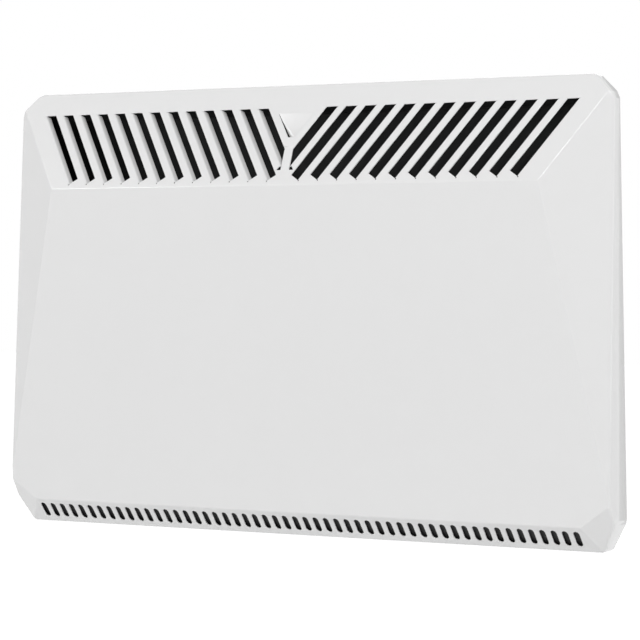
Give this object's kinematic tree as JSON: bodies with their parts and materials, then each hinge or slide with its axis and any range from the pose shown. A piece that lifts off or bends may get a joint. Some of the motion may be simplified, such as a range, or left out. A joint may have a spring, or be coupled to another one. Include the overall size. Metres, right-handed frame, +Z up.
{
  "type": "wall panel convector heater",
  "caption": "Wall-hung electric convector heater: folded white sheet-metal front with slanted outlet louvres, small intake slots, side controls and a hook-on wall bracket.",
  "frame": {"origin": "on the wall plane, at the middle of the wall bracket's cross bar", "axes": "+X to the right when facing the heater, +Y into the wall, +Z up; the front faces -Y"},
  "size_m": [0.6394, 0.1137, 0.413],
  "materials": {
    "white_paint": "fine satin powder coat, white",
    "galvanised_steel": "galvanised sheet steel with a soft spangle",
    "black_paint": "matt black heat-resistant paint",
    "black_mesh": "fine woven screen, matt black",
    "cast_aluminium": "bare aluminium, dull",
    "stainless_steel": "stainless sheath, heat-tinted",
    "zinc_steel": "bright zinc plating",
    "ceramic": "unglazed steatite ceramic",
    "white_plastic": "white moulded plastic, fine texture",
    "black_plastic": "black moulded plastic",
    "grey_rubber": "dark grey rubber",
    "amber_lens": "clear amber lens",
    "brown_wire": "brown wire insulation",
    "blue_wire": "blue wire insulation",
    "green_wire": "green and yellow wire insulation"
  },
  "bodies": {
    "heater": {"front_cover": "white_paint", "rear_casing": "galvanised_steel", "heat_shield": "galvanised_steel", "partition": "galvanised_steel", "end_bracket_left": "galvanised_steel", "end_bracket_right": "galvanised_steel", "cutout_bracket": "galvanised_steel", "wall_bracket": "galvanised_steel", "outlet_hood": "black_paint", "intake_screen": "black_mesh", "element_core": "cast_aluminium", "heating_rod": "stainless_steel", "terminal_pin_left": "zinc_steel", "terminal_pin_right": "zinc_steel", "catch_rivet_left": "zinc_steel", "catch_rivet_right": "zinc_steel", "ceramic_bush_left": "ceramic", "ceramic_bush_right": "ceramic", "control_panel": "white_plastic", "terminal_block": "white_plastic", "thermostat_body": "black_plastic", "switch_body": "black_plastic", "overheat_cutout": "black_plastic", "cord_gland": "black_plastic", "gland_nut": "black_plastic", "wall_spacer_left": "grey_rubber", "wall_spacer_right": "grey_rubber", "indicator_lens": "amber_lens", "live_wire": "brown_wire", "switched_wire": "brown_wire", "cutout_lead": "brown_wire", "element_lead": "brown_wire", "neutral_wire": "blue_wire", "earth_wire": "green_wire", "cover_screw_left_1": "zinc_steel", "cover_screw_left_2": "zinc_steel", "cover_screw_right_1": "zinc_steel", "cover_screw_right_2": "zinc_steel", "cover_screw_bottom": "zinc_steel", "cover_screw_top": "zinc_steel", "hood_screw_left": "zinc_steel", "hood_screw_right": "zinc_steel", "element_screw_left_lower": "zinc_steel", "element_screw_left_upper": "zinc_steel", "element_screw_right_lower": "zinc_steel", "element_screw_right_upper": "zinc_steel", "shield_screw_left": "zinc_steel", "shield_screw_right": "zinc_steel", "partition_screw": "zinc_steel", "terminal_screw": "zinc_steel", "panel_screw_lower": "zinc_steel", "panel_screw_upper": "zinc_steel", "earth_screw": "zinc_steel", "cutout_screw": "zinc_steel"},
    "thermostat": {"thermostat_shaft": "zinc_steel", "thermostat_knob": "white_plastic"},
    "rocker": {"switch_rocker": "white_plastic"},
    "catch_left": {"lock_catch_left": "galvanised_steel"},
    "catch_right": {"lock_catch_right": "galvanised_steel"}
  },
  "joints": [
    {"name": "thermostat_turn", "type": "hinge", "parent": "heater", "child": "thermostat", "pos_m": [0.288, -0.045, -0.029], "axis": [1, 0, 0], "range_deg": [0, 270]},
    {"name": "switch_rock", "type": "hinge", "parent": "heater", "child": "rocker", "pos_m": [0.2816, -0.045, -0.079], "axis": [0, 1, 0], "range_deg": [0, 18]},
    {"name": "catch_left_turn", "type": "hinge", "parent": "heater", "child": "catch_left", "pos_m": [-0.1, -0.0189, -0.127], "axis": [0, -1, 0], "range_deg": [0, 90]},
    {"name": "catch_right_turn", "type": "hinge", "parent": "heater", "child": "catch_right", "pos_m": [0.1, -0.0189, -0.127], "axis": [0, 1, 0], "range_deg": [0, 90]}
  ]
}
